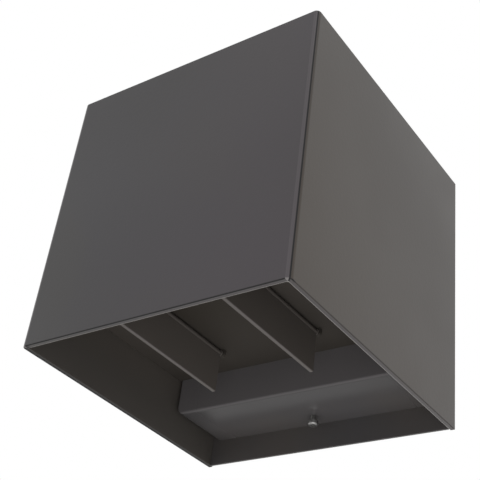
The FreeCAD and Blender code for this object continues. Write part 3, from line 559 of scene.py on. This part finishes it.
def modify(piece, kind, **settings):
    """Adds a modifier and applies it."""
    edit(piece, "OBJECT")
    modifier = piece.modifiers.new(kind.lower(), kind)
    for name, value in settings.items():
        setattr(modifier, name, value)
    bpy.ops.object.modifier_apply(modifier=modifier.name)


def soften(piece, width, segments):
    """Rounds all edges of a piece."""
    modify(piece, "BEVEL", width=width, segments=segments, limit_method="ANGLE")


def cut(piece, cutter):
    """Takes the cutter's shape out of a piece."""
    modify(piece, "BOOLEAN", operation="DIFFERENCE", object=cutter, solver="EXACT")
    bpy.data.objects.remove(cutter)


def join(piece, *others):
    """Joins other pieces into the first one."""
    edit(piece, "OBJECT")
    for other in others:
        other.select_set(True)
    bpy.ops.object.join()
    return piece


def smooth(piece, angle):
    """Shades a piece smooth except at edges sharper than angle degrees."""
    edit(piece, "OBJECT")
    bpy.ops.object.shade_smooth_by_angle(angle=math.radians(angle))


driver_low, driver_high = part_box("driver")
driver_mid = (driver_low + driver_high) / 2
driver_size = driver_high - driver_low
case_half_x = driver_size.x / 2 - FOOT_LENGTH
tray = block("driver_tray", driver_mid, (2 * case_half_x, driver_size.y, driver_size.z))
soften(tray, CASE_ROUNDING, segments=3)
edit(tray, "EDIT")
pick_side(tray, BACKWARD)
bpy.ops.mesh.inset(thickness=DRIVER_WALL)
bpy.ops.mesh.extrude_region_move(TRANSFORM_OT_translate={"value": (0, -2 * RESIN_DEPTH, 0)})
bpy.ops.mesh.inset(thickness=SEAT_WIDTH, depth=0.0)
bpy.ops.object.mode_set(mode="OBJECT")

foot_place = (driver_mid.x, driver_low.y + FOOT_HEIGHT / 2, driver_mid.z)
feet = block("feet", foot_place, (driver_size.x, FOOT_HEIGHT, 2 * FOOT_HALF))
soften(feet, FOOT_ROUNDING, segments=3)
for end in (-1, 1):
    hole_place = (end * (case_half_x + FOOT_LENGTH / 2), driver_low.y, driver_mid.z)
    cut(feet, rod("cutter", hole_place, FOOT_HOLE_R, THROUGH, sides=40, rotation=LYING))
join(tray, feet)
smooth(tray, angle=35)

driver_plastic = moulded(
    "driver_plastic", colour(206, 205, 199), colour(190, 188, 181), gloss=0.42, grain=0.0004
)
dress(driver_plastic, tray)
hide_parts("driver")
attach(tray, "lamp")

resin_place = (driver_mid.x, driver_high.y - 1.5 * RESIN_DEPTH, driver_mid.z)
resin_size = (2 * case_half_x - 2 * DRIVER_WALL, RESIN_DEPTH, driver_size.z - 2 * DRIVER_WALL)
resin = block("driver_resin", resin_place, resin_size)
edit(resin, "EDIT")
pick_side(resin, BACKWARD)
bpy.ops.mesh.inset(thickness=CREEP_WIDTH)
bpy.ops.transform.translate(value=(0, -CREEP_HEIGHT, 0))
bpy.ops.mesh.subdivide(number_cuts=12)
bpy.ops.object.mode_set(mode="OBJECT")
smooth(resin, angle=60)
potting = moulded(
    "potting", colour(30, 31, 33), colour(40, 41, 43), gloss=0.14, Coat_Weight=0.4
)
potting.bump(potting.noise(size=0.012, detail=1.0), depth=0.0006)
dress(potting, resin)
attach(resin, "lamp")

# Bright zinc-plated steel screws hold the driver, the heat sink, the carriers' rear flanges, the
# lamp boards and the glare shields.

screw_zinc = bare_metal(
    "screw_zinc", colour(196, 199, 203), colour(140, 143, 148), gloss=0.28, grain=0.0002
)
dress(screw_zinc, "driver_screws", "core_screws", "chassis_screws")
for level in ("lower", "upper"):
    dress(screw_zinc, "board_screws_" + level, "snoot_screws_" + level)

# The terminal block is moulded in white nylon, with brass screws at the bottom of its wells.

terminal_nylon = moulded(
    "terminal_nylon", colour(222, 219, 208), colour(206, 202, 188), gloss=0.32, grain=0.0006
)
dress(terminal_nylon, "terminal_block")
terminal_brass = bare_metal(
    "terminal_brass", colour(206, 178, 110), colour(150, 122, 66), gloss=0.3, grain=0.0003
)
dress(terminal_brass, "terminal_screws")

# The supply leads are insulated in black PVC and the lamp leads in white silicone. Small silicone
# bushes carry the lamp leads through the wall of the box.

dress(insulation("lead_black", colour(28, 28, 30), colour(40, 40, 42)), "supply_leads")
lead_white = insulation("lead_white", colour(214, 212, 204), colour(198, 195, 185))
dress(lead_white, "lamp_lead_lower", "lamp_lead_upper")
silicone = moulded(
    "silicone", colour(150, 149, 145), colour(168, 167, 162), gloss=0.45, grain=0.0008
)
dress(silicone, "lead_grommets")

# The heat sink is one aluminium extrusion, sawn to length and drilled. Die lines run front to back
# along its web and fins.

sink_metal = bare_metal(
    "sink_metal",
    colour(188, 189, 191),
    colour(136, 137, 140),
    gloss=0.36,
    grain=0.0004,
    stretch=(1, 0.03, 1),
    depth=0.00002,
)
dress(sink_metal, "heat_sink")

# The lamp boards are aluminium with a white solder mask. Copper tracks under the mask show as
# faint raised bands.

board_mask = moulded("board_mask", colour(224, 224, 221), colour(212, 213, 210), gloss=0.3)
tracks = board_mask.cells(size=0.0045).rise(0.42, 0.5)
board_mask.set(Base_Color=board_mask.mix(tracks * 0.3, board_mask.tone, colour(196, 200, 190)))
board_mask.bump(tracks, depth=0.00003)
dress(board_mask, "led_board_lower", "led_board_upper")

# The light source is a square ceramic plate with a round well of yellow phosphor inside a white
# silicone dam, and two plated pads at opposite corners.

PLATE_ROUNDING = 0.0002
DAM_WIDTH = 0.0005
DAM_HEIGHT = 0.0004
DAM_FROM_EDGE = 0.001
PHOSPHOR_LIFT = 0.00005
PHOSPHOR_DOME = 0.05
PAD_SIDE = 0.0019
PAD_FROM_EDGE = 0.0003
PAD_THICKNESS = 0.0001
PAD_ROUNDING = 0.00003


def half_turn(piece, name):
    """A copy for the upper half of the light, turned about the front-to-back axis."""
    twin = piece.copy()
    twin.data = piece.data.copy()
    twin.name = name
    twin.data.name = name
    bpy.context.scene.collection.objects.link(twin)
    twin.data.transform(Matrix.Rotation(math.pi, 4, "Y"))
    return twin


chip_low, chip_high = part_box("led_chip_lower")
chip_mid = (chip_low + chip_high) / 2
chip_half = (chip_high.x - chip_low.x) / 2
emitter_r = chip_half - DAM_FROM_EDGE
plate_face = chip_low.z + DAM_HEIGHT
plate_place = (chip_mid.x, chip_mid.y, (plate_face + chip_high.z) / 2)
plate_size = (2 * chip_half, 2 * chip_half, chip_high.z - plate_face)
plate = block("chip_plate_lower", plate_place, plate_size)
soften(plate, PLATE_ROUNDING, segments=2)
ceramic = moulded(
    "ceramic", colour(216, 214, 208), colour(204, 202, 196), gloss=0.35, grain=0.0002
)
dress(ceramic, plate)

dam = start(
    "chip_dam_lower",
    bpy.ops.mesh.primitive_torus_add,
    major_radius=emitter_r,
    minor_radius=DAM_WIDTH / 2,
    major_segments=64,
    minor_segments=12,
    location=(chip_mid.x, chip_mid.y, plate_face),
)
smooth(dam, angle=60)
dress(silicone, dam)

phosphor_disc = start(
    "chip_phosphor_lower",
    bpy.ops.mesh.primitive_uv_sphere_add,
    segments=48,
    ring_count=24,
    radius=emitter_r,
    location=(chip_mid.x, chip_mid.y, plate_face + PHOSPHOR_LIFT),
    scale=(1, 1, PHOSPHOR_DOME),
)
smooth(phosphor_disc, angle=60)
phosphor = moulded(
    "phosphor", colour(226, 190, 74), colour(212, 170, 52), gloss=0.4, grain=0.00025
)
dress(phosphor, phosphor_disc)

pads = []
pad_reach = chip_half - PAD_SIDE / 2 - PAD_FROM_EDGE
pad_z = plate_face - PAD_THICKNESS / 2
for corner in (-1, 1):
    pad_place = (chip_mid.x + corner * pad_reach, chip_mid.y - corner * pad_reach, pad_z)
    pad = block("pad", pad_place, (PAD_SIDE, PAD_SIDE, PAD_THICKNESS))
    soften(pad, PAD_ROUNDING, segments=2)
    pads.append(pad)
chip_pads = join(*pads)
chip_pads.name = "chip_pads_lower"
gold = bare_metal(
    "gold", colour(226, 196, 122), colour(190, 156, 84), gloss=0.3, grain=0.0002
)
dress(gold, chip_pads)

for piece in (plate, dam, phosphor_disc, chip_pads):
    twin = half_turn(piece, piece.name.replace("lower", "upper"))
    for part, level in ((piece, "lower"), (twin, "upper")):
        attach(part, "lamp")
        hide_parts("led_chip_" + level)

# Each glare shield is a stepped cone moulded in matt black plastic. Its fine grain swallows stray
# light, so the lamp stays hidden from the side.

snoot_black = moulded(
    "snoot_black",
    colour(20, 20, 21),
    colour(28, 28, 29),
    gloss=0.75,
    grain=0.0004,
    depth=0.00004,
    Specular_IOR_Level=0.3,
)
dress(snoot_black, "snoot_lower", "snoot_upper")

# The glass discs are clear and tempered, with an anti-reflection film and ground, slightly
# greenish edges. A silicone ring seals each one.

GROUND_WIDTH = 0.0005
GROUND_FULL = 0.0001

lens_low, lens_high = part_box("lens_lower")
lens_mid_y = (lens_low.y + lens_high.y) / 2
lens_r = (lens_high.x - lens_low.x) / 2
glass = Finish("glass", Transmission_Weight=1.0, IOR=1.5, Specular_IOR_Level=0.2)
x, y = glass.place.axes()[:2]
from_middle = x * x + (y - lens_mid_y) * (y - lens_mid_y)
ground = from_middle.rise((lens_r - GROUND_WIDTH) ** 2, (lens_r - GROUND_FULL) ** 2)
haze = glass.noise(size=0.01).rise(0.5, 0.8)
glass.set(Base_Color=glass.mix(ground, colour(246, 249, 247), colour(196, 218, 206)))
glass.set(Roughness=ground * 0.4 + haze * 0.02 + 0.01)
dress(glass, "lens_lower", "lens_upper")
dress(silicone, "lens_seal_lower", "lens_seal_upper")

# The carrier plates are bent aluminium sheet with a flat, almost black bronze coat. Painted light
# makes them lighter towards the wiring box and in the bays outside the shutters, more on the
# right.
# Black oxide screws fix their fronts.

PAST_SHUTTERS = (0.026, 0.034)

carrier_low, carrier_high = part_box("carrier_lower")
carrier_coat = powder_coat(
    "carrier_coat",
    colour(49, 44, 38),
    colour(46, 42, 36),
    gloss=0.7,
    peel=0.00004,
    Specular_IOR_Level=0.15,
)
x, y = carrier_coat.place.axes()[:2]
# Painted light: lighter towards the wiring box and in the bays outside the shutters, more in the
# right one, evening out the shade deep in the mouth.
towards_box = y.rise(carrier_low.y, carrier_high.y)
side_bays = abs(x).rise(*PAST_SHUTTERS)
bay_painted_light = side_bays * x.rise(carrier_low.x, carrier_high.x).between(0.7, 0.95)
bay_tone = carrier_coat.mix(bay_painted_light, carrier_coat.tone, colour(77, 72, 68))
carrier_coat.set(Base_Color=carrier_coat.mix(towards_box, bay_tone, colour(57, 53, 49)))
dress(carrier_coat, "carrier_lower", "carrier_upper")
screw_black = bare_metal(
    "screw_black", colour(58, 57, 57), colour(40, 40, 41), gloss=0.42, grain=0.0003
)
dress(screw_black, "carrier_screws_lower", "carrier_screws_upper")

# The beam shutters are aluminium strip with a rolled hinge barrel, in the same flat bronze. Their
# free edges carry a painted highlight, and the strip beside the hinge painted shade and a rougher
# coat.
# Their steel pins and washers are lacquered bronze.

TO_FREE_EDGE = (-0.0009, -0.0001)
FROM_HINGE = (0.001, 0.005)

shutter_low, shutter_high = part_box("shutter_lower_left")
shutter_coat = powder_coat(
    "shutter_coat",
    colour(79, 74, 70),
    colour(76, 71, 67),
    gloss=0.55,
    Specular_IOR_Level=0.25,
)
height = abs(shutter_coat.place.axes()[2])
free_edge = height.rise(*TO_FREE_EDGE, start=-shutter_low.z)
hinge_side = 1 - height.rise(*FROM_HINGE, start=-shutter_high.z)
# Painted highlight along the free edge.
edge_highlight_tone = shutter_coat.mix(free_edge * 0.8, shutter_coat.tone, colour(92, 87, 85))
# Painted shade beside the hinge, where the coat is also rougher.
shutter_coat.set(Base_Color=shutter_coat.mix(hinge_side * 0.5, edge_highlight_tone, colour(66, 61, 58)))
shutter_coat.set(Roughness=shutter_coat.gloss + hinge_side * 0.3)
hinge_lacquer = powder_coat(
    "hinge_lacquer", colour(96, 91, 87), colour(88, 83, 79), gloss=0.55
)
for level in ("lower", "upper"):
    dress(hinge_lacquer, "friction_washers_" + level)
    for hand in ("left", "right"):
        dress(shutter_coat, f"shutter_{level}_{hand}")
        dress(hinge_lacquer, f"hinge_pin_{level}_{hand}")

# The locking screws are stainless M3 pan heads with a cross recess and a rolled thread. Each runs
# through the wiring box into a tab of the wall bracket and keeps the light on it.

HEAD_R = 0.0028
HEAD_HEIGHT = 0.0024
CROWN_ROUNDING = 0.001
RECESS_REACH = 0.0017
RECESS_WIDTH = 0.0007
RECESS_DEPTH = 0.0013
CORE_R = 0.00122
TIP_CHAMFER = 0.0004
THREAD_PITCH = 0.0005
THREAD_R = 0.0015
THREAD_RUN_OUT = 0.0006
ROOT_HALF = 0.42 * THREAD_PITCH
CREST_HALF = 0.12 * ROOT_HALF
ROOT_SUNK = 0.0001
WELD = 0.000001
UPWARD = Vector((0, 0, 1))

lock_low, lock_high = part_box("locking_screw_lower")
lock_mid = (lock_low + lock_high) / 2
head_top = lock_low.z + HEAD_HEIGHT
head_place = (lock_mid.x, lock_mid.y, lock_low.z + HEAD_HEIGHT / 2)
head = rod("locking_screw_threaded_lower", head_place, HEAD_R, HEAD_HEIGHT, sides=64)
edit(head, "EDIT")
pick_side(head, -UPWARD)
bpy.ops.mesh.bevel(offset=CROWN_ROUNDING, segments=8, profile=0.5, affect="EDGES")
bpy.ops.object.mode_set(mode="OBJECT")
recess_place = (lock_mid.x, lock_mid.y, lock_low.z)
recess_size = (2 * RECESS_REACH, RECESS_WIDTH, 2 * RECESS_DEPTH)
for turn in (math.pi / 4, 3 * math.pi / 4):
    cut(head, block("cutter", recess_place, recess_size, rotation=(0, 0, turn)))

shank_length = lock_high.z - head_top
core_place = (lock_mid.x, lock_mid.y, head_top + shank_length / 2)
core = rod("core", core_place, CORE_R, shank_length, sides=48)
edit(core, "EDIT")
pick_side(core, UPWARD)
bpy.ops.mesh.bevel(offset=TIP_CHAMFER, segments=2, affect="EDGES")
bpy.ops.object.mode_set(mode="OBJECT")

root_r = CORE_R - ROOT_SUNK
ridge_profile = [
    (root_r, 0, -ROOT_HALF),
    (THREAD_R, 0, -CREST_HALF),
    (THREAD_R, 0, CREST_HALF),
    (root_r, 0, ROOT_HALF),
]
ridge_mesh = bpy.data.meshes.new("ridge")
ridge_mesh.from_pydata(ridge_profile, [(0, 1), (1, 2), (2, 3), (3, 0)], [])
ridge = bpy.data.objects.new("ridge", ridge_mesh)
bpy.context.scene.collection.objects.link(ridge)
turns = int((shank_length - THREAD_RUN_OUT) / THREAD_PITCH)
modify(ridge, "SCREW", screw_offset=THREAD_PITCH, iterations=turns, steps=32, render_steps=32)
edit(ridge, "EDIT")
bpy.ops.mesh.select_all(action="SELECT")
bpy.ops.mesh.remove_doubles(threshold=WELD)
bpy.ops.mesh.select_all(action="DESELECT")
bpy.ops.mesh.select_mode(type="EDGE")
bpy.ops.mesh.select_non_manifold()
bpy.ops.mesh.edge_face_add()
bpy.ops.mesh.select_all(action="SELECT")
bpy.ops.mesh.normals_make_consistent(inside=False)
bpy.ops.transform.translate(value=(lock_mid.x, lock_mid.y, head_top + ROOT_HALF))
bpy.ops.object.mode_set(mode="OBJECT")
lock_screw = join(head, core, ridge)
smooth(lock_screw, angle=40)

lock_steel = bare_metal(
    "lock_steel", colour(178, 177, 175), colour(128, 127, 126), gloss=0.26, grain=0.0003
)
dress(lock_steel, lock_screw)
lock_twin = half_turn(lock_screw, "locking_screw_threaded_upper")
for piece, level in ((lock_screw, "lower"), (lock_twin, "upper")):
    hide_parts("locking_screw_" + level)
    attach(piece, "lamp")
